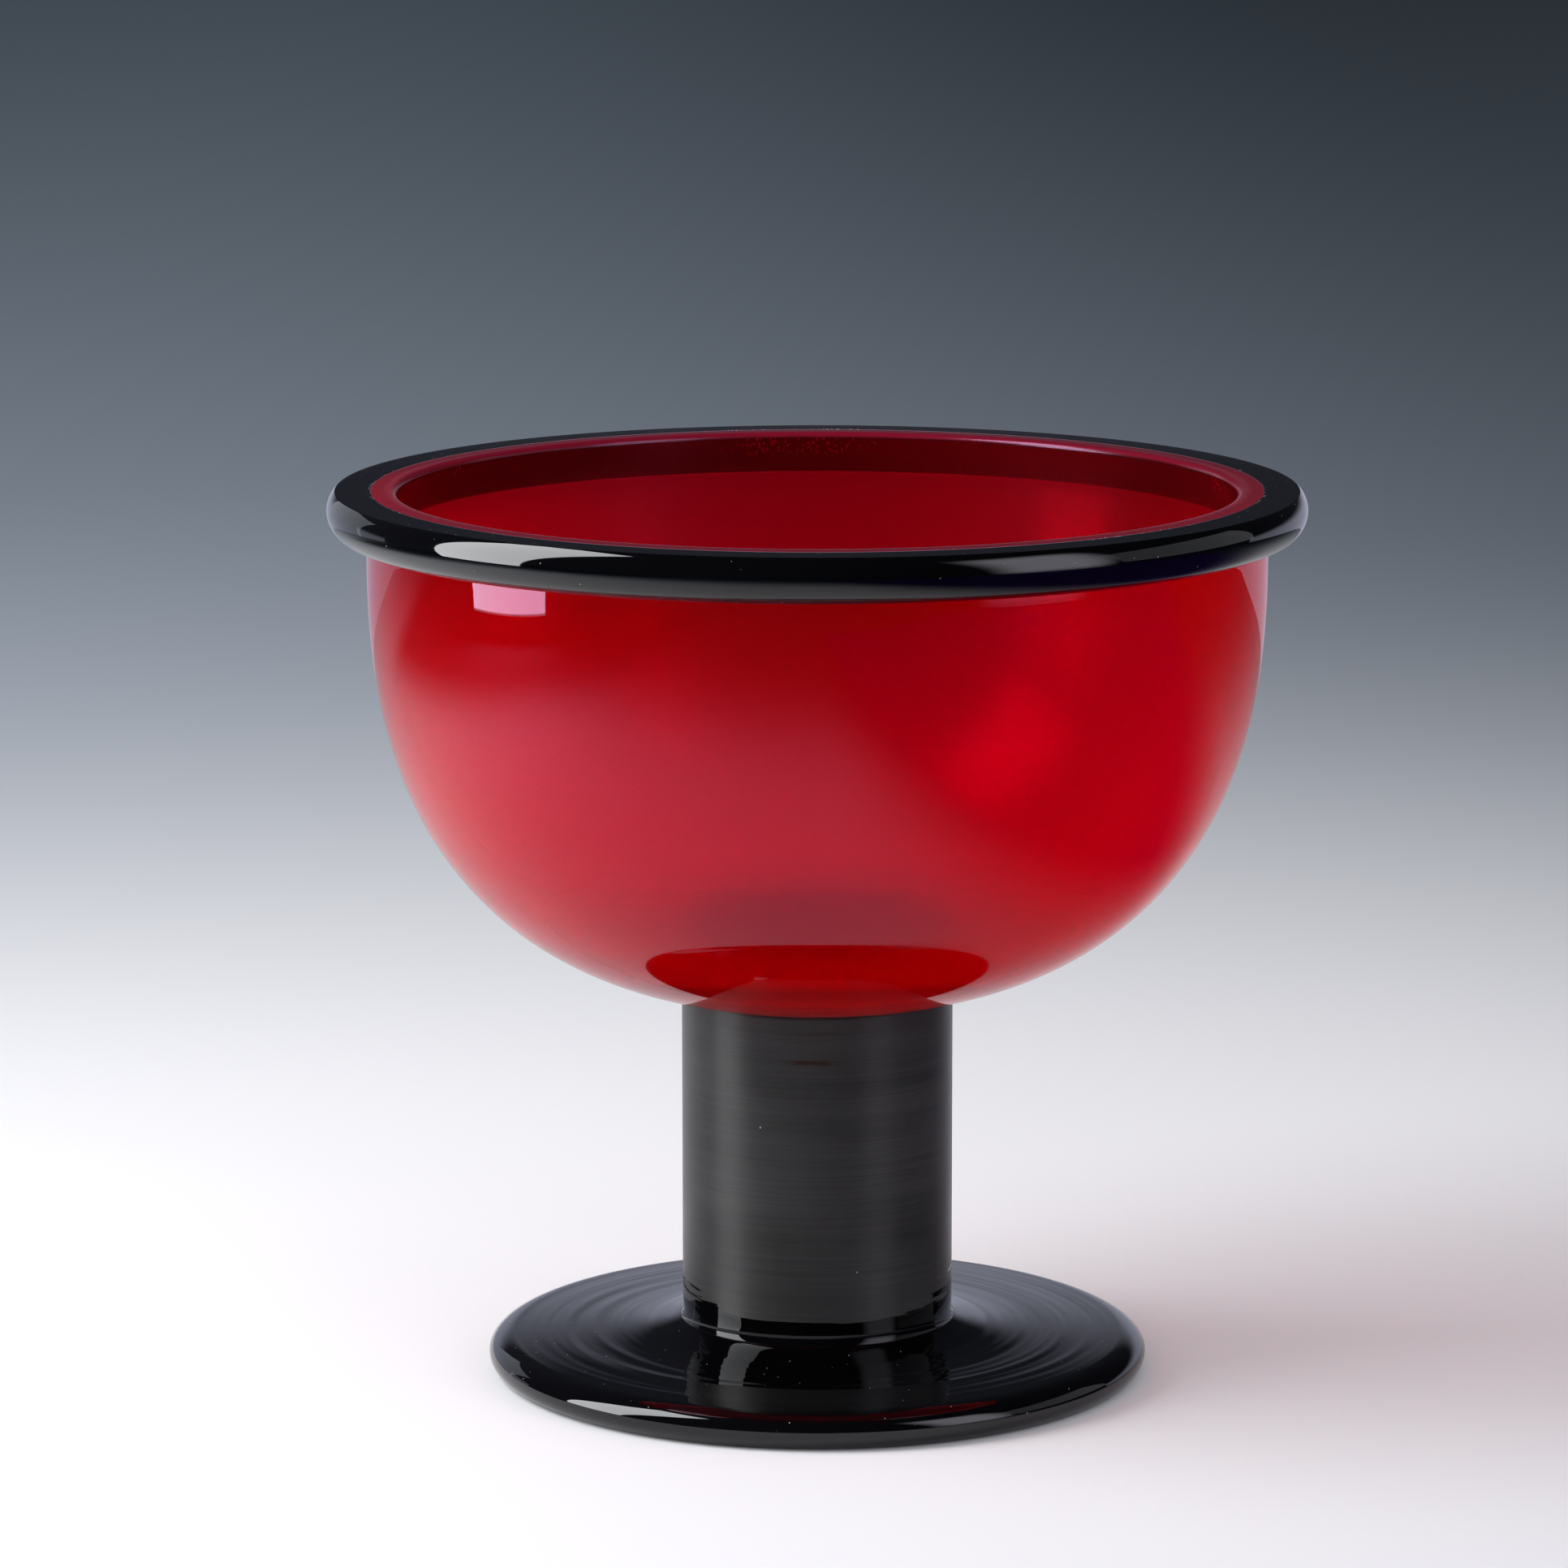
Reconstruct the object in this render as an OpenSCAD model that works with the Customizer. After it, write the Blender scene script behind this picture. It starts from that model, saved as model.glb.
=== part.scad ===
// Footed glass bowl: a thick-walled blown bowl with a ground lip and an applied
// rim ring, carried by a hollow cylindrical stem on a heavy round foot.
// The origin is on the table, under the middle of the foot, with +Z up.

/* [Bowl] */
// Outer diameter of the wall at its widest level
bowl_d = 230; // [180:1:280]
// Height from the underside of the bowl to its widest level
bowl_drop = 118.5; // [95:0.5:150]
// Height from the widest level to the ground lip
bowl_rise = 14.8; // [13:0.1:30]
// Power of the outer curve: 2 is an ellipse, a higher one is squarer
bowl_power = 2.5; // [2.3:0.1:3]
// How far the wall closes in, on the radius, from its widest level to the lip
lip_draw = 1.2; // [0:0.1:3]
// Thickness of the wall at the lip and at the widest level
bowl_wall = 7; // [5:0.5:9]
// Thickness of the glass in the middle of the bottom
bottom_t = 23.5; // [10:0.5:28]
// Radius, on the outer curve, inside which the glass is thicker than the wall
heavy_r = 80; // [55:1:100]
// Power of the thickening: a higher one makes the floor of the cavity flatter
heavy_power = 3; // [2:0.1:4]
// Radius of the polished inner edge of the lip
lip_round = 1.7; // [0.5:0.1:3]

/* [Rim ring] */
// How far the ring stands out from the widest level of the bowl
ring_out = 10; // [8:0.5:12]
// Height of the ring, from its underside to the ground top
ring_h = 11.9; // [9:0.1:12.5]
// Diameter of the round bead that the ring was before its top was ground flat
bead_d = 13.9; // [12.6:0.1:16]

/* [Stem] */
// Diameter of the turned cylinder
stem_d = 70; // [45:1:95]
// Height of the stem, from the foot to the edge of its seat under the bowl
stem_h = 86.2; // [40:0.1:160]
// Thickness of the wall round the hollow of the stem
stem_wall = 9; // [6:0.5:16]
// Thickness of the closed end under the bowl
stem_cap = 10; // [6:0.5:16]
// Radius in the blind end of the hollow
hollow_round = 8; // [3:0.5:14]
// Height of the glossy band at the base of the stem, below the turned part
base_band_h = 6.2; // [3:0.1:12]
// How far the band flares out at the foot, on the radius
base_flare = 0.7; // [0:0.1:3]
// Power of the flare: a higher one keeps the band upright until close to the foot
flare_power = 5; // [1:0.5:8]

/* [Foot] */
// Outer diameter of the foot
foot_d = 171; // [140:1:220]
// Thickness of the rounded edge of the foot
foot_edge = 9.5; // [7:0.1:12]
// Height of the widest level of that edge
edge_mid = 4.7; // [3:0.1:6]
// Width of the rounding below the widest level
edge_under_w = 5; // [3:0.1:8]
// Width of the rounding above the widest level
edge_over_w = 7; // [3:0.1:12]
// Height of the foot under the stem
foot_h = 13.8; // [12.5:0.1:22]
// Power of the rise from the edge to the stem: 1 is a cone, a higher one a fillet
foot_power = 3.5; // [1:0.1:7]
// Width of the flat ring that the foot stands on
bearing_w = 14; // [6:0.5:30]
// Depth of the dished underside in the middle
dish_depth = 2; // [0.5:0.1:5]

/* [Joints] */
// Clearance between two pieces where the hot glass was joined
seam = 0.05; // [0.02:0.01:0.2]

/* [Hidden] */

// Steps along a long curve, a short curve and an arc
curve_steps = 40;
short_steps = 8;
arc_steps = 24;
$fn = 144;

// Levels, from the table up
seat_z = foot_h + stem_h;
bowl_r = bowl_d / 2;
stem_r = stem_d / 2;
pole_z = seat_z - curve_lift(stem_r);
widest_z = pole_z + bowl_drop;
top_z = widest_z + bowl_rise;

// The bead of the ring
bead_r = bead_d / 2;
bead_x = bowl_r + ring_out - bead_r;
bead_z = top_z - ring_h + bead_r;
seat_angle = wall_angle(top_z - ring_h, short_steps);
bead_seat_z = bead_z + bead_r * sin(seat_angle);

// The foot
foot_r = foot_d / 2;
neck_r = stem_r + base_flare;
flat_r = foot_r - edge_under_w;
bearing_r = flat_r - bearing_w;
shoulder_r = foot_r - edge_over_w;

// Height of the outer curve over the pole at radius r
function curve_lift(r) = bowl_drop * (1 - pow(1 - pow(r / bowl_r, bowl_power), 1 / bowl_power));

// Point on the outer curve, from the pole at 0 to the widest level at 1
function outer_point(s) = let (t = 90 * (1 - s))
    [bowl_r * pow(cos(t), 2 / bowl_power), widest_z - bowl_drop * pow(sin(t), 2 / bowl_power)];

// Direction square to the outer curve at point p, into the glass
function inward(p) = let (
        x = pow(p[0] / bowl_r, bowl_power - 1) / bowl_r,
        z = pow((widest_z - p[1]) / bowl_drop, bowl_power - 1) / bowl_drop)
    [-x, z] / norm([x, z]);

// Thickness of the glass at radius r of the outer curve
function glass_t(r) = bowl_wall
    + (bottom_t - bowl_wall) * pow(1 - pow(min(r / heavy_r, 1), heavy_power), 2);

// Outer radius of the wall at a level above the widest one
function wall_r(z) = bowl_r - lip_draw * pow(max(z - widest_z, 0) / bowl_rise, 2);

// Levels from the widest one up to z
function levels(z) = [for (i = [1:short_steps]) widest_z + (z - widest_z) * i / short_steps];

// Angle on the bead's section at which its underside meets the wall, found in n rounds
function wall_angle(z, n) = let (a = -acos((wall_r(z) + seam - bead_x) / bead_r))
    n == 0 ? a : wall_angle(bead_z + bead_r * sin(a), n - 1);

// Arc round (x, z) with half axes w and h, from angle a to angle b
function arc(x, z, w, h, a, b) = [
    for (i = [0:arc_steps]) let (t = a + (b - a) * i / arc_steps) [x + w * cos(t), z + h * sin(t)]
];

function reverse(points) = [for (i = [len(points) - 1:-1:0]) points[i]];

outer_curve = [for (i = [0:curve_steps]) outer_point(i / curve_steps)];
cavity_curve = [for (p = outer_curve) p + inward(p) * glass_t(p[0])];
lip_z = top_z - lip_round;
lip_r = wall_r(lip_z) - bowl_wall;

// Blown bowl: an even wall that thickens to a heavy bottom with a nearly flat floor
module bowl() {
    color([0.78, 0.02, 0.05])
        rotate_extrude()
            polygon(concat(
                outer_curve,
                [for (z = levels(top_z)) [wall_r(z), z]],
                arc(lip_r + lip_round, lip_z, lip_round, lip_round, 90, 180),
                reverse([for (z = levels(lip_z)) if (z < lip_z) [wall_r(z) - bowl_wall, z]]),
                reverse(cavity_curve)
            ));
}

// Ring laid round the lip: a bead that seats on the wall and is ground flush with the lip
module rim_ring() {
    color([0.03, 0.03, 0.04])
        rotate_extrude()
            polygon(concat(
                arc(bead_x, bead_z, bead_r, bead_r, seat_angle, asin((top_z - bead_z) / bead_r)),
                reverse([for (z = levels(top_z)) if (z > bead_seat_z) [wall_r(z) + seam, z]])
            ));
}

// Hollow stem: its closed end is dished to the underside of the bowl
module stem() {
    base_z = foot_h + seam;
    hollow_r = stem_r - stem_wall;
    hollow_z = pole_z - stem_cap - hollow_round;
    color([0.13, 0.13, 0.13])
        rotate_extrude()
            polygon(concat(
                [[hollow_r, base_z], [neck_r, base_z]],
                [for (i = [1:short_steps]) let (s = i / short_steps)
                    [stem_r + base_flare * pow(1 - s, flare_power), base_z + base_band_h * s]],
                [[stem_r, seat_z - seam]],
                reverse([for (p = outer_curve) if (p[0] < stem_r) [p[0], p[1] - seam]]),
                [[0, hollow_z + hollow_round]],
                arc(hollow_r - hollow_round, hollow_z, hollow_round, hollow_round, 90, 0)
            ));
}

// Foot: a heavy disc with a rounded edge that rises in a fillet to the stem
module foot() {
    color([0.03, 0.03, 0.04])
        rotate_extrude()
            polygon(concat(
                [for (i = [0:short_steps]) let (s = i / short_steps)
                    [bearing_r * s, dish_depth * (1 - s * s)]],
                arc(flat_r, edge_mid, edge_under_w, edge_mid, -90, 0),
                arc(shoulder_r, edge_mid, edge_over_w, foot_edge - edge_mid, 0, 90),
                [for (i = [1:arc_steps]) let (s = i / arc_steps)
                    [shoulder_r - (shoulder_r - neck_r) * s,
                     foot_edge + (foot_h - foot_edge) * pow(s, foot_power)]],
                [[0, foot_h]]
            ));
}

bowl();
rim_ring();
stem();
foot();
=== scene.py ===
"""Footed glass bowl: a slightly cloudy red blown bowl with a black rim ring, on a satin black stem and
a glossy black foot.

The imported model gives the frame. Each glass piece is turned here as one smooth body on the sizes of
the frame and takes the place of its node. Lengths are in metres, +Z is up, and Z is the axis of the bowl.
"""

import math

import bpy
from bpy.props import FloatProperty, FloatVectorProperty, IntProperty, PointerProperty
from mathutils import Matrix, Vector


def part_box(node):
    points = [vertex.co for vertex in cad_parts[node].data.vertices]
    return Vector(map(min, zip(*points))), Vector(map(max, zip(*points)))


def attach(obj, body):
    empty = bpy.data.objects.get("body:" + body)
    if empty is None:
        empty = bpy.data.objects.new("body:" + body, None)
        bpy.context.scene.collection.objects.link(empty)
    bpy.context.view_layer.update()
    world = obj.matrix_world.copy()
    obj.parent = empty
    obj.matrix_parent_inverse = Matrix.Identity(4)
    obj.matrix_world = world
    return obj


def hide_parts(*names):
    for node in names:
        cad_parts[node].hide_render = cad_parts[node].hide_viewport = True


bl_info = {
    "name": "Footed Glass Bowl",
    "version": (1, 0, 0),
    "blender": (4, 5, 0),
    "location": "View3D > Sidebar > Glass Bowl",
    "description": "Turns a footed glass bowl and sets it on a pale studio floor",
    "category": "Add Mesh",
}

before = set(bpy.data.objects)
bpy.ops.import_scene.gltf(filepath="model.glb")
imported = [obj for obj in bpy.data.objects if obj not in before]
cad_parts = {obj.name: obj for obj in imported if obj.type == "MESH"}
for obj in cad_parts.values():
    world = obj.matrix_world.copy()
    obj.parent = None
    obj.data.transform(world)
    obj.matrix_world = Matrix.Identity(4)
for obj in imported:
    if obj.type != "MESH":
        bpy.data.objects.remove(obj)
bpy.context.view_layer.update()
BOWL_LOW, BOWL_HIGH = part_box("bowl")
RING_LOW, RING_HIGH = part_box("rim_ring")
_, FOOT_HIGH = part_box("foot")

MM = 0.001


# Properties

def length(name, description, default):
    return FloatProperty(name=name, description=description, default=default, min=0,
                         precision=5, unit="LENGTH", subtype="DISTANCE")


def colour(name, description, default):
    return FloatVectorProperty(name=name, description=description, default=default,
                               size=3, min=0, max=1, subtype="COLOR")


def number(name, description, default):
    return FloatProperty(name=name, description=description, default=default, min=0)


def share(name, description, default):
    return FloatProperty(name=name, description=description, default=default, min=0, max=1,
                         subtype="FACTOR")


class BowlSizes(bpy.types.PropertyGroup):
    radius: length("Radius", "Outer radius of the wall at its widest level", 115 * MM)
    drop: length("Drop", "Height from the underside to the widest level", 118.5 * MM)
    power: number("Power", "Power of the outer curve, 2 for an ellipse", 2.5)
    lip_draw: length("Lip draw", "How far the wall closes in from the widest level to the lip", 1.2 * MM)
    wall: length("Wall", "Thickness of the wall at the lip", 7 * MM)
    bottom: length("Bottom", "Thickness of the glass in the middle of the bottom", 23.5 * MM)
    heavy_radius: length("Heavy radius", "Radius inside which the glass thickens", 80 * MM)
    heavy_power: number("Heavy power", "Power of the thickening", 3)
    lip_round: length("Lip round", "Radius of the inner edge of the lip", 1.7 * MM)


class RingSizes(bpy.types.PropertyGroup):
    bead_radius: length("Bead radius", "Radius of the round bead", 6.95 * MM)


class StemSizes(bpy.types.PropertyGroup):
    radius: length("Radius", "Radius of the turned cylinder", 35 * MM)
    band: length("Band", "Height of the glossy band at the base", 6.2 * MM)
    flare: length("Flare", "How far the band flares out at the foot", 0.7 * MM)
    flare_power: number("Flare power", "Power of the flare, higher for an upright band", 5)


class FootSizes(bpy.types.PropertyGroup):
    edge: length("Edge", "Thickness of the rounded edge", 9.5 * MM)
    edge_middle: length("Edge middle", "Height of the widest level of the edge", 4.7 * MM)
    under_width: length("Under width", "Width of the rounding below that level", 5 * MM)
    over_width: length("Over width", "Width of the rounding above that level", 7 * MM)
    power: number("Power", "Power of the rise from the edge to the stem", 3.5)
    bearing: length("Bearing", "Width of the flat ring that the foot stands on", 14 * MM)
    dish: length("Dish", "Depth of the dished underside", 2 * MM)
    crown: length("Crown", "How far the top swells between the edge and the rise", 0.5 * MM)
    ripple: length("Ripple", "Depth of the tooling ripples on top", 0.22 * MM)


class Finishes(bpy.types.PropertyGroup):
    red: colour("Red", "Colour of the slightly cloudy red glass", (1.0, 0.0, 0.008))
    # Painted shade: the red glass darkened near the rim, less so on the +X side
    red_rim_shade: colour("Red dense", "Colour of the cloudy glass near the rim", (0.3, 0.0, 0.003))
    # Painted shade: the same red glass, darker on the faces inside the bowl
    red_inside_shade: colour("Red inside", "Colour of the same glass inside the bowl", (0.2, 0.0, 0.002))
    red_lip: colour("Red lip", "Colour of the ground flat of the lip", (0.24, 0.004, 0.022))
    red_clear: colour("Red clear", "Colour of the light that passes unscattered", (1.0, 0.0, 0.04))
    red_gloss: colour("Red gloss", "Tint of what the red glass mirrors", (1.0, 0.6, 1.0))
    red_through: colour("Red through", "Colour that the depth of the glass lets through", (0.995, 0.0, 0.35))
    red_depth: number("Red depth", "How strongly the red glass absorbs, per metre", 150)
    clearness: share("Clearness", "Share of the light that passes the red glass unscattered", 0.79)
    forward: share("Forward", "Share of the scattered light that goes on through the glass", 0.78)
    # Painted glow: bright red on the fused top of the black stem, standing in for light scattered in the
    # thick red bottom
    seat: colour("Seat", "Colour where the stem is fused to the bowl", (1.0, 0.0, 0.01))
    black: colour("Black", "Colour of the glossy black glass", (0.001, 0.001, 0.0013))
    satin: colour("Satin", "Colour of the turned satin", (0.036, 0.035, 0.0355))
    scuff: colour("Scuff", "Colour of the small marks on the satin", (0.02, 0.0045, 0.002))
    speck: colour("Speck", "Colour of the pale specks in the black glass", (0.55, 0.47, 0.45))
    floor: colour("Floor", "Colour of the floor round the bowl", (0.91, 0.91, 0.93))
    # Painted light falloff on the floor: the colour it fades to first, as the light dies away
    middle: colour("Middle", "Colour that the floor fades to first", (0.42, 0.5, 0.6))
    glow: colour("Glow", "Colour of the light behind the bowl that the foot mirrors", (0.5, 0.52, 0.65))
    # Painted light falloff on the floor: its colour far from the bowl, where the light has died away
    slate: colour("Slate", "Colour of the floor far away", (0.05, 0.07, 0.09))
    air: colour("Air", "Colour of the dark to the left of the studio", (0.036, 0.038, 0.052))
    # Painted reflection: the violet that the glass mirrors on its right, from a card that only reflections
    # see
    violet: colour("Violet", "Colour of the card to the right", (0.032, 0.006, 0.12))
    air_right: colour("Air right", "Colour of the dark to the right of the studio", (0.014, 0.015, 0.02))


class GlassBowl(bpy.types.PropertyGroup):
    bowl: PointerProperty(type=BowlSizes)
    ring: PointerProperty(type=RingSizes)
    stem: PointerProperty(type=StemSizes)
    foot: PointerProperty(type=FootSizes)
    finishes: PointerProperty(type=Finishes)
    steps: IntProperty(name="Steps", description="Steps round the axis", default=256, min=32, max=512)


# Node trees

class Value:
    """A socket's value. An expression on it adds Math nodes."""

    def __init__(self, tree, socket):
        self.tree, self.socket = tree, socket

    def math(self, operation, *values):
        return self.tree.math(operation, self, *values)

    def __add__(self, other):
        return self.tree.math("ADD", self, other)

    def __sub__(self, other):
        return self.tree.math("SUBTRACT", self, other)

    def __rsub__(self, other):
        return self.tree.math("SUBTRACT", other, self)

    def __mul__(self, other):
        return self.tree.math("MULTIPLY", self, other)

    def __truediv__(self, other):
        return self.tree.math("DIVIDE", self, other)

    def __rtruediv__(self, other):
        return self.tree.math("DIVIDE", other, self)

    def __neg__(self):
        return self.tree.math("MULTIPLY", self, -1)

    def __pow__(self, other):
        return self.tree.math("POWER", self, other)

    __radd__, __rmul__ = __add__, __mul__


class Made:
    """A node in a tree, whose outputs are read by name or number."""

    def __init__(self, tree, node):
        self.tree, self.node = tree, node

    def __getitem__(self, key):
        return Value(self.tree, self.node.outputs[key])


class Tree:
    """Adds nodes to a node tree."""

    def __init__(self, nodes):
        self.nodes = nodes

    def node(self, kind, settings=None, sockets=None):
        made = self.nodes.nodes.new(kind)
        for name, setting in (settings or {}).items():
            setattr(made, name, setting)
        for key, value in (sockets or {}).items():
            self.feed(made.inputs[key], value)
        return Made(self, made)

    def feed(self, socket, value):
        if isinstance(value, Value):
            self.nodes.links.new(value.socket, socket)
        else:
            socket.default_value = value

    def math(self, operation, *values):
        return self.node("ShaderNodeMath", {"operation": operation}, dict(enumerate(values)))[0]

    def mix(self, factor, first, second):
        """Colours first to second, as factor goes from 0 to 1."""
        return self.node("ShaderNodeMix", {"data_type": "RGBA"}, {0: factor, 6: first, 7: second})[2]

    def blend(self, factor, first, second):
        """Shaders first to second, as factor goes from 0 to 1."""
        return self.node("ShaderNodeMixShader", {}, {0: factor, 1: first, 2: second})[0]

    def smooth(self, value, low, high):
        """0 below low, 1 above high, and smooth between them."""
        return self.node("ShaderNodeMapRange", {"interpolation_type": "SMOOTHSTEP"},
                         {"Value": value, "From Min": low, "From Max": high})["Result"]

    def parts(self, vector):
        split = self.node("ShaderNodeSeparateXYZ", {}, {0: vector})
        return split["X"], split["Y"], split["Z"]

    def joined(self, x, y, z):
        return self.node("ShaderNodeCombineXYZ", {}, {"X": x, "Y": y, "Z": z})[0]

    def place(self):
        """Where a point lies, in the coordinates of its own piece."""
        return self.node("ShaderNodeTexCoord")["Object"]

    def clamped(self, value):
        return self.node("ShaderNodeClamp", {}, {0: value})[0]

    def noise(self, vector, scale, detail):
        return self.node("ShaderNodeTexNoise", {}, {
            "Vector": vector, "Scale": scale, "Detail": detail})["Fac"]

    def scaled(self, vector, by):
        """A vector stretched along its axes."""
        return self.node("ShaderNodeVectorMath", {"operation": "MULTIPLY"}, {0: vector, 1: by})[0]

    def specks(self, vector, scale, radius):
        """1 inside small round specks."""
        away = self.node("ShaderNodeTexVoronoi", {}, {"Vector": vector, "Scale": scale})["Distance"]
        return self.math("LESS_THAN", away, radius)

    def scuff(self, place, middle, half):
        """1 inside a small ragged mark on the front, with its middle and half size in x and z."""
        x, y, z = self.parts(place)
        wide, high = (x - middle[0]) / half[0], (z - middle[1]) / half[1]
        torn = self.noise(self.scaled(place, (260, 0, 2400)), scale=1, detail=2) * 1.1
        inside = 1 - self.smooth(hypotenuse(wide, high) + torn, 0.8, 1.25)
        return inside * self.math("LESS_THAN", y, 0)

    def bump(self, height, strength, distance):
        return self.node("ShaderNodeBump", {}, {
            "Strength": strength, "Distance": distance, "Height": height})["Normal"]

    def principled(self, sockets):
        return self.node("ShaderNodeBsdfPrincipled", {}, sockets)[0]

    def matt(self, sockets):
        """A surface that mirrors nothing."""
        return self.principled({"Roughness": 1, "Specular IOR Level": 0, **sockets})

    def glowing(self, tint, strength, alpha):
        """A surface that gives off light and throws none back."""
        return self.matt({"Base Color": rgba((0, 0, 0)), "Emission Color": rgba(tint),
                          "Emission Strength": strength, "Alpha": alpha})

    def reshape(self, kind, shell, sockets=None):
        """A geometry node that takes a shell and gives it back changed."""
        return self.node(kind, {}, {"Geometry": shell, **(sockets or {})})["Geometry"]

    def finish(self, surface, volume=None):
        """Closes a material's tree with its output."""
        out = self.node("ShaderNodeOutputMaterial", {}, {"Surface": surface})
        if volume:
            self.feed(out.node.inputs["Volume"], volume)


def hypotenuse(a, b):
    return (a * a + b * b) ** 0.5


def fade(distance, reach, power):
    """1 at no distance, a half at reach, and less and less beyond."""
    return 1 / (1 + (distance / reach) ** power)


def rgba(rgb):
    return (*rgb, 1)


def new_material(name):
    """A material and its empty tree."""
    material = bpy.data.materials.new(name)
    material.use_nodes = True
    material.node_tree.nodes.clear()
    return material, Tree(material.node_tree)


# The lathe

# Noise scale of the tooling ripples, across the foot and out from its axis, per metre
RIPPLE_ACROSS = 9
RIPPLE_OUTWARDS = 210
# Height over which they set in
RIPPLE_ONSET = 0.4 * MM
# Points closer than this are one: at the poles, and where a turn or an outline closes
SAME_POINT = 1e-6


def lathe_tree():
    """Geometry nodes that turn a profile about Z. Its points are (radius, 0, height), in order."""
    group = bpy.data.node_groups.new("Lathe", "GeometryNodeTree")
    given = [("Profile", "NodeSocketGeometry"), ("Steps around", "NodeSocketInt"),
             ("Ripple depth", "NodeSocketFloat"), ("Ripple above", "NodeSocketFloat"),
             ("Seed", "NodeSocketFloat"), ("Material", "NodeSocketMaterial")]
    for name, kind in given:
        group.interface.new_socket(name, in_out="INPUT", socket_type=kind)
    group.interface.new_socket("Turned", in_out="OUTPUT", socket_type="NodeSocketGeometry")
    tree = Tree(group)
    take = tree.node("NodeGroupInput")
    place = tree.node("GeometryNodeInputPosition")[0]

    # A grid with a row for each point of the profile, whose columns are turned about Z
    rows = tree.node("GeometryNodeAttributeDomainSize", {"component": "MESH"},
                     {"Geometry": take["Profile"]})["Point Count"]
    shell = tree.node("GeometryNodeMeshGrid", {}, {
        "Size X": 1, "Size Y": 1, "Vertices X": take["Steps around"] + 1, "Vertices Y": rows})["Mesh"]
    across, along, _ = tree.parts(place)
    row = ((along + 0.5) * (rows - 1)).math("ROUND")
    point = tree.node("GeometryNodeSampleIndex", {"data_type": "FLOAT_VECTOR", "domain": "POINT"},
                      {"Geometry": take["Profile"], "Value": place, "Index": row})["Value"]
    turned = tree.node("ShaderNodeVectorRotate", {"rotation_type": "Z_AXIS"},
                       {"Vector": point, "Angle": (across + 0.5) * math.tau})["Vector"]
    shell = tree.reshape("GeometryNodeSetPosition", shell, {"Position": turned})
    shell = tree.reshape("GeometryNodeMergeByDistance", shell, {"Distance": SAME_POINT})

    # Tooling ripples above a level
    x, y, z = tree.parts(place)
    drawn = tree.joined(x * RIPPLE_ACROSS, y * RIPPLE_ACROSS, hypotenuse(x, y) * RIPPLE_OUTWARDS)
    noise = tree.node("ShaderNodeTexNoise", {"noise_dimensions": "4D"}, {
        "Vector": drawn, "W": take["Seed"], "Scale": 1, "Detail": 1})["Fac"]
    upper = tree.smooth(z, take["Ripple above"], take["Ripple above"] + RIPPLE_ONSET)
    push = tree.joined(0, 0, (noise - 0.5) * take["Ripple depth"] * upper)
    shell = tree.reshape("GeometryNodeSetPosition", shell, {"Offset": push})

    shell = tree.reshape("GeometryNodeSetShadeSmooth", shell)
    shell = tree.reshape("GeometryNodeRealizeInstances", shell)
    shell = tree.reshape("GeometryNodeSetMaterial", shell, {"Material": take["Material"]})
    tree.node("NodeGroupOutput", {}, {"Turned": shell})
    return group


def turn(name, profile, material, steps, ripple_depth=0, ripple_above=0, seed=0):
    """A closed body of revolution, as a plain mesh with its place in the mesh."""
    line = bpy.data.meshes.new(name + "_profile")
    line.from_pydata([(r, 0, z) for r, z in profile], [(i, i + 1) for i in range(len(profile) - 1)], [])
    piece = bpy.data.objects.new(name, line)
    bpy.context.scene.collection.objects.link(piece)
    group = bpy.data.node_groups.get("Lathe") or lathe_tree()
    lathe = piece.modifiers.new("Lathe", "NODES")
    lathe.node_group = group
    values = {"Steps around": steps, "Ripple depth": ripple_depth, "Ripple above": ripple_above,
              "Seed": seed, "Material": material}
    for item in group.interface.items_tree:
        if item.in_out == "INPUT" and item.name in values:
            lathe[item.identifier] = values[item.name]
    seen = piece.evaluated_get(bpy.context.evaluated_depsgraph_get())
    mesh = bpy.data.meshes.new_from_object(seen)
    piece.modifiers.remove(lathe)
    piece.data = mesh
    bpy.data.meshes.remove(line)
    mesh.name = name
    return piece


def settle(piece, node):
    """The piece stands for a CAD node, which it hides, and rides with the root body."""
    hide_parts(node)
    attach(piece, "root")


# Profiles, as (radius, height) points

# How far a piece reaches into the one it is fused to, where the solids leave a seam
FUSED = 0.05 * MM
# Steps along the stretches of the outlines
CURVE_STEPS = 96
LEVEL_STEPS = 12
SEAT_STEPS = 10
BAND_STEPS = 24
DISH_STEPS = 16
RISE_STEPS = 120
# Rounds of looking for the place where the bead meets the wall
SEAT_ROUNDS = 20
# Share of the foot's rise that its crown takes up
CROWN_SHARE = 0.8


def evenly(steps):
    """Shares from 0 to 1, in even steps."""
    return [i / steps for i in range(steps + 1)]


def arc(centre, half_axes, start, end, steps):
    """Arc of an ellipse, with its angles in degrees."""
    angles = [math.radians(start + (end - start) * s) for s in evenly(steps)]
    return [(centre[0] + half_axes[0] * math.cos(a), centre[1] + half_axes[1] * math.sin(a))
            for a in angles]


def run(start, end, steps):
    """Points on the straight from start to end, without start."""
    return [(start[0] + (end[0] - start[0]) * s, start[1] + (end[1] - start[1]) * s)
            for s in evenly(steps)[1:]]


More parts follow.
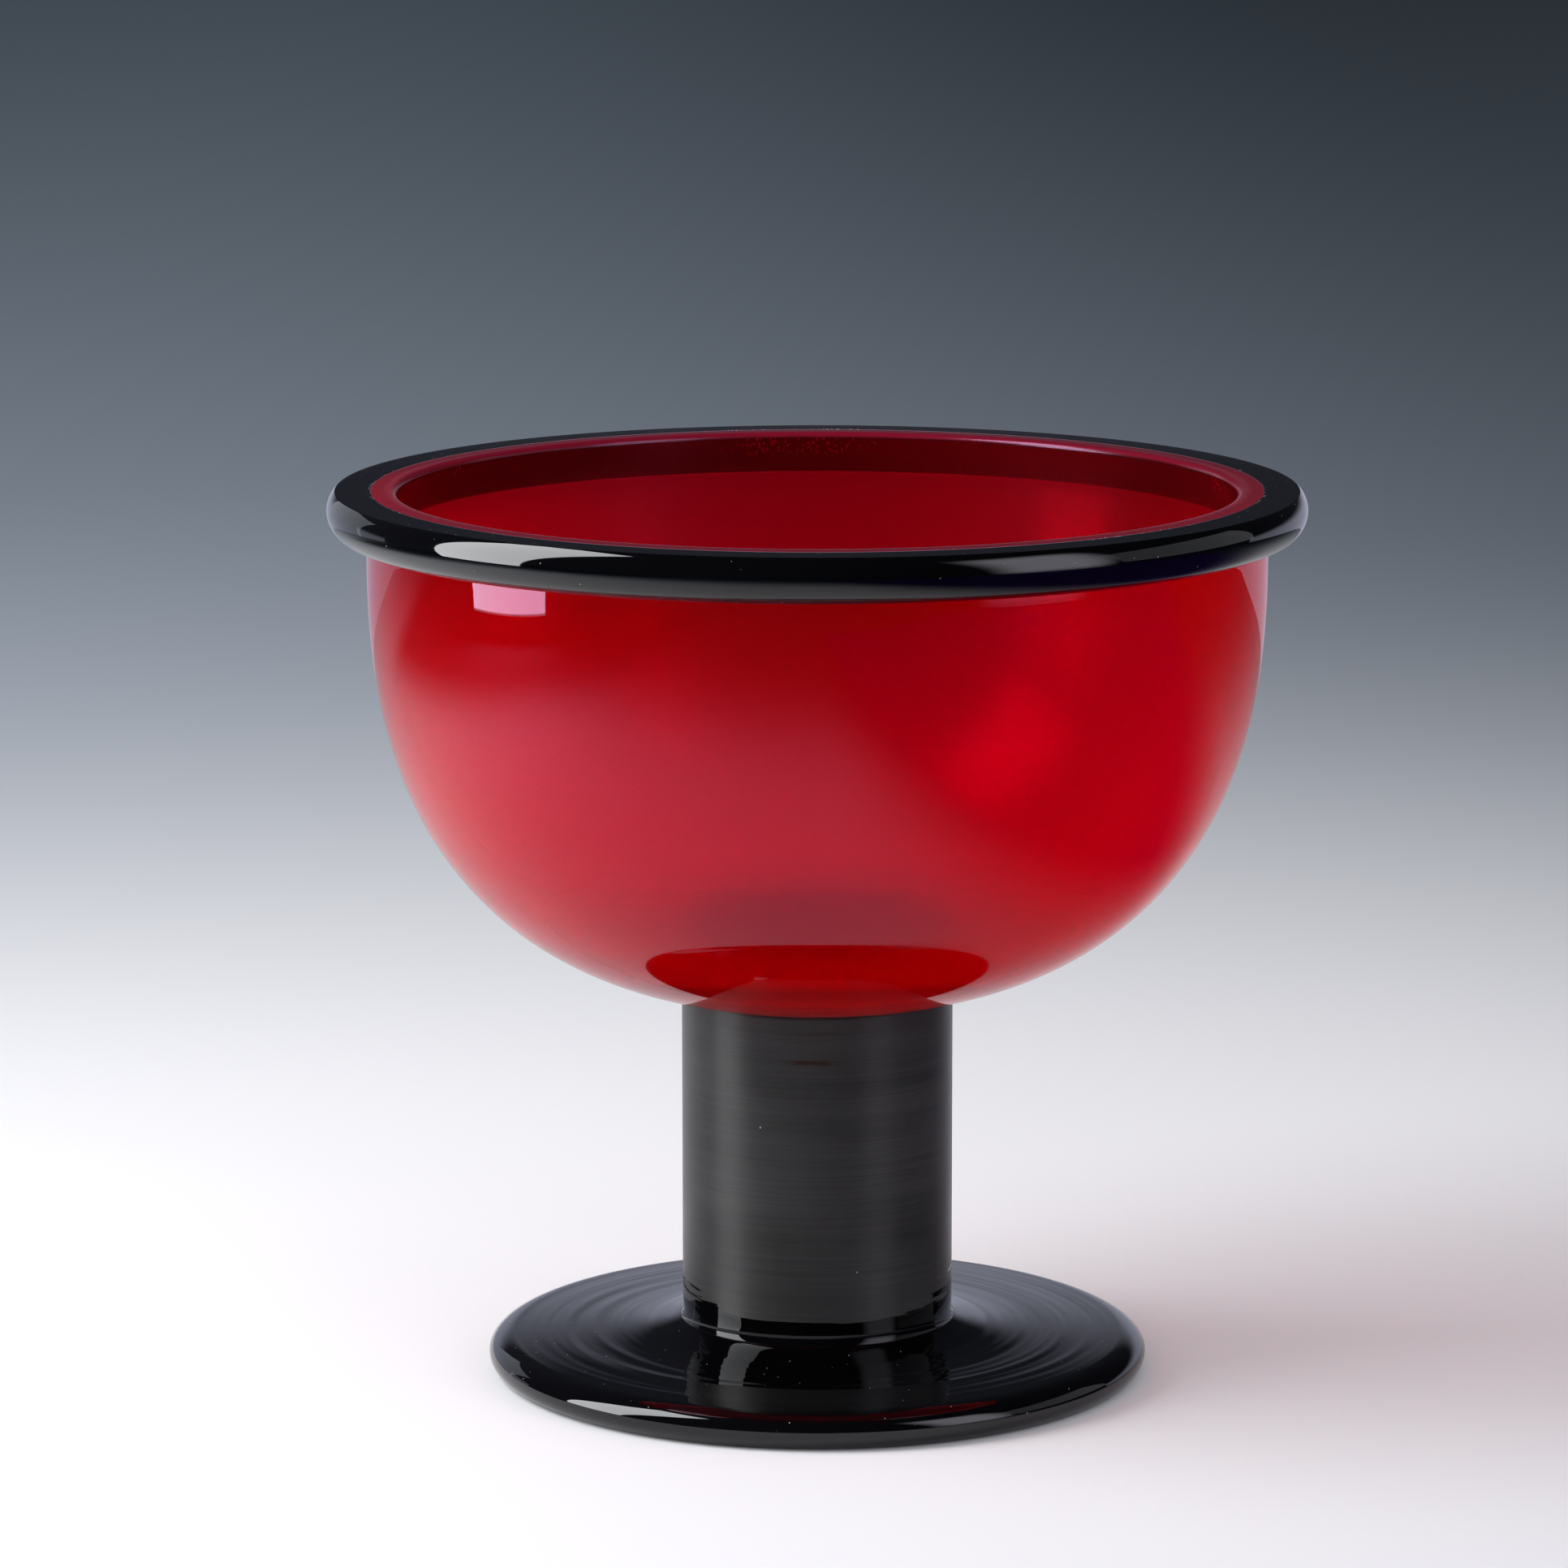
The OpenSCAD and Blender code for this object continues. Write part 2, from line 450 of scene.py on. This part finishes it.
def eased(points, radius, sharp=20, steps=4):
    """The outline with each corner of over sharp degrees rounded, so that smooth shading suits it."""
    out = [points[0]]
    for before, here, after in zip(points, points[1:], points[2:]):
        back = (before[0] - here[0], before[1] - here[1])
        on = (after[0] - here[0], after[1] - here[1])
        back_length, on_length = math.hypot(*back), math.hypot(*on)
        turned = abs(math.degrees(math.remainder(
            math.atan2(on[1], on[0]) - math.atan2(-back[1], -back[0]), math.tau)))
        if turned < sharp:
            out.append(here)
            continue
        into, away = min(radius, back_length / 2), min(radius, on_length / 2)
        first = (here[0] + back[0] / back_length * into, here[1] + back[1] / back_length * into)
        last = (here[0] + on[0] / on_length * away, here[1] + on[1] / on_length * away)
        for s in evenly(steps):
            out.append(tuple((1 - s) ** 2 * f + 2 * s * (1 - s) * h + s * s * l
                             for f, h, l in zip(first, here, last)))
    return out + [points[-1]]


class BowlShape:
    """The outer and inner curves of the bowl, worked out from its sizes."""

    def __init__(self, sizes):
        self.sizes = sizes
        self.top = BOWL_HIGH.z
        self.widest = BOWL_LOW.z + sizes.drop

    def outer(self, s):
        """Point on the outer curve, from the pole at 0 to the widest level at 1."""
        t = math.pi / 2 * (1 - s)
        power = 2 / self.sizes.power
        return (self.sizes.radius * max(math.cos(t), 0) ** power,
                self.widest - self.sizes.drop * math.sin(t) ** power)

    def inner(self, point):
        """Point of the cavity that lies square across the glass from a point of the outer curve."""
        sizes = self.sizes
        x = (point[0] / sizes.radius) ** (sizes.power - 1) / sizes.radius
        z = (max(self.widest - point[1], 0) / sizes.drop) ** (sizes.power - 1) / sizes.drop
        heavy = (1 - min(point[0] / sizes.heavy_radius, 1) ** sizes.heavy_power) ** 2
        thick = sizes.wall + (sizes.bottom - sizes.wall) * heavy
        return point[0] - x / math.hypot(x, z) * thick, point[1] + z / math.hypot(x, z) * thick

    def wall(self, z):
        """Outer radius at a level."""
        sizes = self.sizes
        if z >= self.widest:
            return sizes.radius - sizes.lip_draw * ((z - self.widest) / (self.top - self.widest)) ** 2
        return sizes.radius * (1 - ((self.widest - z) / sizes.drop) ** sizes.power) ** (1 / sizes.power)

    def height(self, r):
        """Height of the outer curve over a radius."""
        sizes = self.sizes
        return self.widest - sizes.drop * (1 - (r / sizes.radius) ** sizes.power) ** (1 / sizes.power)

    def profile(self):
        """Up the outside, over the lip and down the cavity."""
        sizes = self.sizes
        curve = [self.outer(s) for s in evenly(CURVE_STEPS)]
        lip_z = self.top - sizes.lip_round
        lip_r = self.wall(lip_z) - sizes.wall
        levels = [self.widest + (self.top - self.widest) * s for s in evenly(LEVEL_STEPS)[1:]]
        outside = curve + [(self.wall(z), z) for z in levels]
        flat = run(outside[-1], (lip_r + sizes.lip_round, self.top), steps=6)
        half_axes = (sizes.lip_round, sizes.lip_round)
        rounded = arc((lip_r + sizes.lip_round, lip_z), half_axes, 90, 180, steps=10)[1:]
        inside = [(self.wall(z) - sizes.wall, z) for z in reversed(levels) if z < lip_z - 0.2 * MM]
        return eased(outside + flat, radius=0.15 * MM)[:-1] + [flat[-1]] + rounded + inside + [
            self.inner(p) for p in reversed(curve)]


def ring_profile(shape, sizes):
    """The bead, ground flat at the top, closed by its seat just inside the glass."""
    r = sizes.bead_radius
    centre = (RING_HIGH.x - r, RING_LOW.z + r)
    flat = math.degrees(math.asin((shape.top - centre[1]) / r))
    low = -90.0
    for _ in range(SEAT_ROUNDS):
        level = centre[1] + r * math.sin(math.radians(low))
        low = -math.degrees(math.acos((shape.wall(level) - FUSED - centre[0]) / r))
    bead = arc(centre, (r, r), low, flat, steps=64)
    inner_top = (shape.wall(shape.top) - FUSED, shape.top)
    levels = [shape.top - (shape.top - bead[0][1]) * s for s in evenly(SEAT_STEPS)[1:-1]]
    seat = [(shape.wall(z) - FUSED, z) for z in levels]
    return eased(bead + run(bead[-1], inner_top, steps=10) + seat + [bead[0]], radius=0.12 * MM)


def stem_profile(shape, sizes):
    """Out along the base, up the band and the side, and back along the dished seat to the axis."""
    base = FOOT_HIGH.z - FUSED
    top = shape.height(sizes.radius) + FUSED
    band = [(sizes.radius + sizes.flare * (1 - s) ** sizes.flare_power, base + sizes.band * s)
            for s in evenly(BAND_STEPS)]
    side = run(band[-1], (sizes.radius, top), steps=60)
    radii = [sizes.radius * (1 - s) for s in evenly(DISH_STEPS)[1:]]
    seat = [(r, shape.height(r) + FUSED) for r in radii]
    return [(0, base)] + run((0, base), band[0], steps=6) + band[1:] + side + seat


def foot_profile(stem, sizes):
    """Out along the dished underside, round the edge, up the rise to the stem and back to the axis."""
    radius, top = FOOT_HIGH.x, FOOT_HIGH.z
    flat_end, shoulder = radius - sizes.under_width, radius - sizes.over_width
    bearing, neck = flat_end - sizes.bearing, stem.radius + stem.flare
    under = [(bearing * s, sizes.dish * (1 - s ** 2)) for s in evenly(DISH_STEPS)]
    flat = run(under[-1], (flat_end, 0), steps=4)
    low = arc((flat_end, sizes.edge_middle), (sizes.under_width, sizes.edge_middle), -90, 0, steps=20)
    high = arc((shoulder, sizes.edge_middle), (sizes.over_width, sizes.edge - sizes.edge_middle),
               0, 90, steps=24)
    rise = []
    for s in evenly(RISE_STEPS)[1:]:
        crown = sizes.crown * math.sin(math.pi * min(s / CROWN_SHARE, 1))
        rise.append((shoulder - (shoulder - neck) * s,
                     sizes.edge + (top - sizes.edge) * s ** sizes.power + crown))
    return under + flat + low[1:] + high[1:] + rise + run((neck, top), (0, top), steps=8)


# Finishes

RED_IOR = 1.51
BLACK_IOR = 1.5
POLISHED = 0.03
# Specks in the black glass: cells per metre, and the radius of a speck as a share of its cell
SPECK_CELLS = 260
SPECK_RADIUS = 0.036


def red_glass(finishes, sizes, widest):
    """Slightly cloudy red glass, polished outside and softer inside, with painted shade near the rim and on
    the inner faces.
    """
    material, tree = new_material("red_glass")
    x, y, z = tree.parts(tree.place())
    top = BOWL_HIGH.z
    # 1 on the outer curve, less inside it
    outward = ((x * x + y * y) / sizes.radius ** 2) ** (sizes.power / 2) + (
        tree.math("MAXIMUM", widest - z, 0) / sizes.drop) ** sizes.power
    inside = 1 - tree.smooth(outward, 0.86, 0.94)
    lip = tree.smooth(z, top - 1.7 * MM, top - 0.8 * MM)
    # Fitted to the photograph: painted shade that darkens the glass near the rim, less so on the +X side
    # where the light passes through; and less clear glass towards the bottom, which makes it brighter there
    dark_start, dark_side, cloudy_top = widest - 70 * MM, 70 * MM, BOWL_LOW.z + 90 * MM
    rim_shade = tree.smooth(z, dark_start, top) * (1 - tree.smooth(x, 0, dark_side) * 0.9)
    low = 1 - tree.smooth(z, BOWL_LOW.z, cloudy_top)

    look = {"Roughness": inside * 0.2, "IOR": RED_IOR, "Specular Tint": rgba(finishes.red_gloss)}
    # Painted shade: the red darkens towards the rim, and the painted rim shade also thins the light that
    # goes on through
    red = tree.mix(rim_shade, rgba(finishes.red), rgba(finishes.red_rim_shade))
    # Painted shade: the inner faces take a darker red; they are also less polished
    red = tree.mix(inside, red, rgba(finishes.red_inside_shade))
    cloud = tree.principled({"Base Color": tree.mix(lip, red, rgba(finishes.red_lip)), **look})
    onward = tree.node("ShaderNodeBsdfTranslucent", {}, {"Color": rgba(finishes.red)})[0]
    cloud = tree.blend((1 - lip) * (1 - rim_shade * 0.5) * finishes.forward, cloud, onward)
    clear = tree.principled({"Base Color": rgba(finishes.red_clear), "Transmission Weight": 1, **look})
    glass = tree.blend((1 - lip * 0.7) * (1 - low * 0.25) * finishes.clearness, cloud, clear)
    depth = tree.node("ShaderNodeVolumeAbsorption", {}, {
        "Color": rgba(finishes.red_through), "Density": finishes.red_depth})[0]
    tree.finish(glass, depth)
    return material


def black_gloss(tree, finishes, specks, sockets=None):
    """Polished black glass with pale specks."""
    return tree.principled({
        "Base Color": tree.mix(specks, rgba(finishes.black), rgba(finishes.speck)),
        "Roughness": POLISHED, "IOR": BLACK_IOR, **(sockets or {})})


def foot_glass(finishes):
    """Glossy black glass with fine tooling rings and a few pale specks."""
    material, tree = new_material("foot_black_glass")
    place = tree.place()
    x, y, _ = tree.parts(place)
    drawn = tree.joined(x * 60, y * 60, hypotenuse(x, y) * 700)
    rings = tree.bump(tree.noise(drawn, scale=1, detail=2), strength=0.5, distance=0.02 * MM)
    specks = tree.specks(place, SPECK_CELLS, SPECK_RADIUS)
    tree.finish(black_gloss(tree, finishes, specks, {"Normal": rings}))
    return material


def ring_glass(finishes, seam):
    """Glossy black glass with a broken line of pale specks where it meets the lip."""
    material, tree = new_material("rim_black_glass")
    place = tree.place()
    x, y, _ = tree.parts(place)
    line = 1 - tree.smooth(hypotenuse(x, y), seam + 0.4 * MM, seam + 0.9 * MM)
    crowded = tree.smooth(tree.noise(place, scale=30, detail=2), 0.4, 0.7)
    along_seam = line * tree.specks(place, 1000, crowded * 0.36)
    specks = tree.math("MAXIMUM", along_seam, tree.specks(place, SPECK_CELLS, SPECK_RADIUS))
    tree.finish(black_gloss(tree, finishes, specks))
    return material


def fused_glass(name, tint):
    """Glass where a piece is fused to the red bowl: a matt face that mirrors nothing."""
    material, tree = new_material(name)
    tree.finish(tree.matt({"Base Color": rgba(tint)}))
    return material


def satin_glass(finishes, base, band):
    """Turned satin over most of the stem; the band at the base stayed glossy."""
    material, tree = new_material("satin_black_glass")
    place = tree.place()
    x, _, z = tree.parts(place)
    # The edge of the satin is torn into flat teeth, long at the sides and short in front
    teeth = tree.smooth(tree.noise(tree.scaled(place, (70, 70, 800)), scale=1, detail=2), 0.36, 0.7)
    ragged = tree.smooth(x * x, 0.0004, 0.0012) * 9 * MM + 0.6 * MM
    edge = teeth * ragged + (base + band - 0.4 * MM)
    mask = tree.smooth(z - edge, -0.06 * MM, 0.1 * MM)

    rings = tree.noise(tree.scaled(place, (14, 14, 2600)), scale=1, detail=3)
    bands = tree.noise(tree.scaled(place, (9, 9, 160)), scale=1, detail=2)
    cloud = tree.noise(place, scale=34, detail=3)
    shade = bands * 0.7 + cloud * 0.8 + rings * 0.7 - 0.35
    tone = tree.mix(tree.clamped(shade), rgba((0, 0, 0)), rgba(finishes.satin))
    mark = tree.scuff(place, middle=(-1.7 * MM, base + 74.3 * MM), half=(12 * MM, 1.3 * MM))
    faint = tree.scuff(place, middle=(-1.9 * MM, base + 81.6 * MM), half=(12 * MM, 0.9 * MM))
    tone = tree.mix(tree.math("MAXIMUM", mark, faint * 0.45), tone, rgba(finishes.scuff))
    tone = tree.mix(tree.specks(place, 110, 0.02), tone, rgba(finishes.speck))
    rough = 0.34 + bands * 0.08 + rings * 0.06

    tree.finish(tree.principled({
        "Base Color": tree.mix(mask, rgba(finishes.black), tone),
        "Roughness": POLISHED + mask * (rough - POLISHED), "IOR": BLACK_IOR, "Specular IOR Level": 0.25,
        "Normal": tree.bump(rings * mask, strength=0.35, distance=0.03 * MM),
        "Anisotropic": 0.85, "Anisotropic Rotation": 0.25}))
    return material


def seat_faces(piece, material, is_seat):
    """Gives the faces of a fused seat their own material."""
    piece.data.materials.append(material)
    for face in piece.data.polygons:
        if is_seat(face.center):
            face.material_index = 1


# Operators

class Piece:
    """What the operators of the pieces share."""
    bl_options = {"REGISTER", "UNDO"}

    @staticmethod
    def parts(context):
        given = context.scene.glass_bowl
        return given, BowlShape(given.bowl)


class GLASSBOWL_OT_bowl(Piece, bpy.types.Operator):
    """Turn the red bowl"""
    bl_idname = "glassbowl.bowl"
    bl_label = "Bowl"

    def execute(self, context):
        given, shape = self.parts(context)
        glass = red_glass(given.finishes, given.bowl, shape.widest)
        piece = turn("red_bowl", shape.profile(), glass, given.steps)
        settle(piece, "bowl")
        return {"FINISHED"}


class GLASSBOWL_OT_ring(Piece, bpy.types.Operator):
    """Turn the rim ring"""
    bl_idname = "glassbowl.ring"
    bl_label = "Rim ring"

    def execute(self, context):
        given, shape = self.parts(context)
        glass = ring_glass(given.finishes, shape.wall(shape.top))
        piece = turn("black_rim_ring", ring_profile(shape, given.ring), glass, given.steps)

        def in_seat(p):
            return math.hypot(p.x, p.y) < shape.wall(p.z) and p.z < shape.top - 0.1 * MM

        seat_faces(piece, fused_glass("fused_rim", given.finishes.black), in_seat)
        settle(piece, "rim_ring")
        return {"FINISHED"}


class GLASSBOWL_OT_stem(Piece, bpy.types.Operator):
    """Turn the stem"""
    bl_idname = "glassbowl.stem"
    bl_label = "Stem"

    def execute(self, context):
        given, shape = self.parts(context)
        glass = satin_glass(given.finishes, FOOT_HIGH.z, given.stem.band)
        piece = turn("black_stem", stem_profile(shape, given.stem), glass, given.steps)

        def in_seat(p):
            away = math.hypot(p.x, p.y)
            return p.z > shape.height(away) and away < given.stem.radius * 0.999

        # The fused top of the black stem takes the bright seat red: painted glow of the light scattered in
        # the thick red bottom
        seat_faces(piece, fused_glass("fused_stem_painted_glow", given.finishes.seat), in_seat)
        settle(piece, "stem")
        return {"FINISHED"}


class GLASSBOWL_OT_foot(Piece, bpy.types.Operator):
    """Turn the foot"""
    bl_idname = "glassbowl.foot"
    bl_label = "Foot"

    def execute(self, context):
        given, _ = self.parts(context)
        foot = given.foot
        piece = turn("black_foot", foot_profile(given.stem, foot), foot_glass(given.finishes), given.steps,
                     ripple_depth=foot.ripple, ripple_above=foot.edge - 0.6 * MM, seed=3)
        settle(piece, "foot")
        return {"FINISHED"}


# The studio: floor, lamps and camera, fitted to the photograph

# In metres, degrees and pixels of the photograph, and the sensor in millimetres
CAMERA_BACK = 1.7254
CAMERA_HEIGHT = 0.46994
CAMERA_DOWN = 10.3851
FOCAL_PX = 8403.8
FRAME_PX = 1932
AXIS_PX = 1007
SENSOR = 36

FLOOR_HALF = 12
# How far the cards and the foot of the backdrop clear the floor
CLEAR = 1 * MM
UV_CORNERS = ((-1, -1), (1, -1), (1, 1), (-1, 1))

# What the softbox shares with its double, and the front lamp with its image
SOFTBOX_TARGET = (0.0, -0.06, 0.085)
SOFTBOX_SIZE = (0.43, 1.06)
SOFTBOX_TINT = (0.96, 0.98, 1.0)
FRONT_PLACE = (1.05, -0.76, 0.71)
FRONT_TARGET = (0.0, 0.0, 0.25)
FRONT_TINT = (0.88, 0.88, 1.0)
# What the two weak lamps face
WEAK_TARGET = (0.0, 0.0, 0.2)


def floor_finish(finishes):
    """Painted pool of light: the floor is white round the bowl and its colour falls off to slate, soonest
    towards the front and the sides, standing in for the lamps' falloff.
    """
    material, tree = new_material("floor")
    x, y, _ = tree.parts(tree.place())
    away = hypotenuse(x, y)
    behind, ahead = tree.math("MAXIMUM", y, 0), tree.math("MAXIMUM", -y, 0)
    # Distance to the side, which counts more on the right and less far behind
    aside = x * (tree.smooth(x, -0.1, 0.35) * 0.5 + 0.72) / (1 + behind * 1.2)
    near = fade(away, reach=0.86, power=4)
    front = fade(hypotenuse(ahead, aside), reach=0.47, power=4.5)
    far = fade(away, reach=2.3, power=2.2)
    # Painted shade: darker far out on the right
    painted_right_light = 1 - tree.smooth(x, -0.6, 0.6) * tree.smooth(away, 0, 1.6) * 0.55
    faded = tree.mix(far * front, rgba(finishes.slate), rgba(finishes.middle))
    lit = tree.mix(near * front, faded, rgba(finishes.floor))
    tree.finish(tree.principled({
        "Base Color": tree.mix(painted_right_light, rgba((0, 0, 0)), lit), "Roughness": 0.9, "Specular IOR Level": 0}))
    return material


def backdrop_finish(finishes):
    """A glow behind the bowl that dies away upwards, for the glass to mirror."""
    material, tree = new_material("backdrop")
    _, _, z = tree.parts(tree.place())
    tree.finish(tree.glowing(finishes.glow, strength=1, alpha=1 - tree.smooth(z, 0.18, 0.37)))
    return material


def painted_reflection_finish(finishes):
    """Painted reflections: a black card on the floor left of the picture and a dark violet one right of it,
    which only reflections see and which paint dark and violet reflections into the glass.

    Their near edges are soft."""
    material, tree = new_material("painted_reflection_cards")
    x, y, _ = tree.parts(tree.place())
    right = tree.smooth(x - y * 0.11, 0.05, 0.24) * (1 - tree.smooth(y, 0.08, 0.4) * 0.9)
    left = tree.smooth(-x, 0.5, 0.85) * (1 - tree.smooth(y, 0.55, 0.75)) * 0.9
    tree.finish(tree.matt({
        "Base Color": tree.mix(right, rgba(finishes.air), rgba(finishes.violet)),
        "Alpha": tree.math("MAXIMUM", left, right)}))
    return material


def glow_finish(radiance, tint):
    """A glow that fades towards the edges of its sheet."""
    material, tree = new_material("glow")
    u, v, _ = tree.parts(tree.node("ShaderNodeTexCoord")["UV"])
    fades = (1 - tree.smooth(u * u, 0.05, 0.9)) * (1 - tree.smooth(v * v, 0.2, 0.95))
    tree.finish(tree.glowing(tint, strength=radiance, alpha=fades))
    return material


def level_corners(half, front, back, z):
    return [(-half, front, z), (half, front, z), (half, back, z), (-half, back, z)]


def upright_corners(half, y, low, high):
    return [(-half, y, low), (half, y, low), (half, y, high), (-half, y, high)]


def sheet(name, corners, material):
    """A flat sheet of the studio that only mirrored rays see. Its UV runs from -1 to 1."""
    mesh = bpy.data.meshes.new(name)
    mesh.from_pydata(corners, [], [(0, 1, 2, 3)])
    layer = mesh.uv_layers.new(name="across")
    for loop, corner in zip(layer.data, UV_CORNERS):
        loop.uv = corner
    mesh.materials.append(material)
    made = bpy.data.objects.new(name, mesh)
    made.visible_camera = made.visible_diffuse = made.visible_shadow = made.visible_transmission = False
    bpy.context.scene.collection.objects.link(made)


def facing(place, target):
    return (Vector(target) - Vector(place)).to_track_quat("-Z", "Y")


def soft_image(name, place, target, size, radiance, tint):
    """What the glass mirrors of a lamp with soft edges."""
    turned = facing(place, target)
    corners = [turned @ Vector((u * size[0] / 2, v * size[1] / 2, 0)) + Vector(place)
               for u, v in UV_CORNERS]
    sheet(name, corners, glow_finish(radiance, tint))


def lamp(name, place, target, size, radiance, tint):
    """A rectangular lamp that is seen in reflections but not by the camera."""
    light = bpy.data.lights.new(name, "AREA")
    light.shape = "RECTANGLE"
    light.size, light.size_y = size
    light.energy = radiance * math.pi * size[0] * size[1]
    light.color = tint
    made = bpy.data.objects.new(name, light)
    made.location = place
    made.rotation_euler = facing(place, target).to_euler()
    made.visible_camera = False
    bpy.context.scene.collection.objects.link(made)
    return made


def set_floor(scene, finishes):
    corners = level_corners(half=FLOOR_HALF, front=-FLOOR_HALF, back=FLOOR_HALF, z=0)
    mesh = bpy.data.meshes.new("studio_floor")
    mesh.from_pydata(corners, [], [(0, 1, 2, 3)])
    floor = bpy.data.objects.new("studio_floor", mesh)
    mesh.materials.append(floor_finish(finishes))
    scene.collection.objects.link(floor)


def set_lamps():
    """A softbox on the left, a front lamp on the right, and two weak lamps.

    The softbox has a double that only makes its reflection brighter. The front lamp is mirrored
    as a larger and softer image."""
    lamp("softbox", place=(-0.77, -0.15, 0.515), target=SOFTBOX_TARGET, size=SOFTBOX_SIZE,
         radiance=7.4, tint=SOFTBOX_TINT)
    gleam = lamp("softbox_gleam", place=(-0.765, -0.15, 0.513), target=SOFTBOX_TARGET, size=SOFTBOX_SIZE,
                 radiance=1.6, tint=SOFTBOX_TINT)
    gleam.visible_diffuse = gleam.visible_transmission = False
    fill = lamp("front_fill", place=FRONT_PLACE, target=FRONT_TARGET, size=(0.37, 1.3),
                radiance=2.3, tint=FRONT_TINT)
    fill.visible_glossy = False
    soft_image("front_glow", place=FRONT_PLACE, target=FRONT_TARGET, size=(0.95, 1.7),
               radiance=2.6, tint=FRONT_TINT)
    lamp("left_wing", place=(-0.93, 1.18, 0.33), target=WEAK_TARGET, size=(0.72, 0.75),
         radiance=0.55, tint=(0.85, 0.9, 1.0))
    lamp("side_fill", place=(1.35, 0.10, 0.56), target=WEAK_TARGET, size=(1.2, 0.72),
         radiance=0.4, tint=(0.9, 0.92, 1.0))


def set_air(scene, finishes):
    """A dark room for what is seen, mirrored or looked through, and soft light for the rest."""
    world = bpy.data.worlds.new("studio_air")
    scene.world = world
    world.use_nodes = True
    world.node_tree.nodes.clear()
    tree = Tree(world.node_tree)
    path = tree.node("ShaderNodeLightPath")
    seen = tree.math("MAXIMUM", path["Is Camera Ray"],
                     tree.math("MAXIMUM", path["Is Glossy Ray"], path["Is Transmission Ray"]))
    right, _, up = tree.parts(tree.node("ShaderNodeTexCoord")["Generated"])
    dark = tree.mix(tree.smooth(right, -0.5, 0.7), rgba(finishes.air), rgba(finishes.air_right))
    soft = tree.mix(tree.smooth(up, 0, 0.9), rgba((0.42, 0.42, 0.43)), rgba((0.55, 0.54, 0.55)))
    air = tree.node("ShaderNodeBackground", {}, {"Color": tree.mix(seen, soft, dark), "Strength": 1})[0]
    tree.node("ShaderNodeOutputWorld", {}, {"Surface": air})


def set_camera(scene):
    camera = bpy.data.objects.new("camera", bpy.data.cameras.new("camera"))
    camera.location = (0, -CAMERA_BACK, CAMERA_HEIGHT)
    camera.rotation_euler = (math.radians(90 - CAMERA_DOWN), 0, 0)
    camera.data.sensor_width = SENSOR
    camera.data.lens = FOCAL_PX / FRAME_PX * SENSOR
    camera.data.shift_x = (FRAME_PX / 2 - AXIS_PX) / FRAME_PX
    scene.collection.objects.link(camera)
    scene.camera = camera


class GLASSBOWL_OT_studio(bpy.types.Operator):
    """Set the floor, the lamps and the camera"""
    bl_idname = "glassbowl.studio"
    bl_label = "Studio"

    def execute(self, context):
        scene, finishes = context.scene, context.scene.glass_bowl.finishes
        set_floor(scene, finishes)
        set_lamps()
        sheet("backdrop", upright_corners(half=2, y=1, low=CLEAR, high=0.5), backdrop_finish(finishes))
        # Cards that only mirrored rays see: painted dark and violet reflections
        sheet("painted_reflection_cards", level_corners(half=3, front=-1.3, back=0.9, z=CLEAR), painted_reflection_finish(finishes))
        set_air(scene, finishes)
        set_camera(scene)
        scene.view_settings.view_transform = "Standard"
        return {"FINISHED"}


class GLASSBOWL_PT_panel(bpy.types.Panel):
    """Lists the pieces and their sizes"""
    bl_label = "Glass Bowl"
    bl_idname = "GLASSBOWL_PT_panel"
    bl_space_type = "VIEW_3D"
    bl_region_type = "UI"
    bl_category = "Glass Bowl"

    def draw(self, context):
        given = context.scene.glass_bowl
        for title, group, operator in (
                ("Bowl", given.bowl, "glassbowl.bowl"), ("Rim ring", given.ring, "glassbowl.ring"),
                ("Stem", given.stem, "glassbowl.stem"), ("Foot", given.foot, "glassbowl.foot"),
                ("Studio", given.finishes, "glassbowl.studio")):
            box = self.layout.box()
            box.operator(operator, text=title)
            for name in group.__annotations__:
                box.prop(group, name)


CLASSES = (BowlSizes, RingSizes, StemSizes, FootSizes, Finishes, GlassBowl, GLASSBOWL_OT_bowl,
           GLASSBOWL_OT_ring, GLASSBOWL_OT_stem, GLASSBOWL_OT_foot, GLASSBOWL_OT_studio,
           GLASSBOWL_PT_panel)


def register():
    for one in CLASSES:
        bpy.utils.register_class(one)
    bpy.types.Scene.glass_bowl = PointerProperty(type=GlassBowl)


def unregister():
    del bpy.types.Scene.glass_bowl
    for one in reversed(CLASSES):
        bpy.utils.unregister_class(one)


def main():
    register()
    bpy.ops.glassbowl.bowl()
    bpy.ops.glassbowl.ring()
    bpy.ops.glassbowl.stem()
    bpy.ops.glassbowl.foot()
    bpy.ops.glassbowl.studio()


if __name__ == "__main__":
    main()
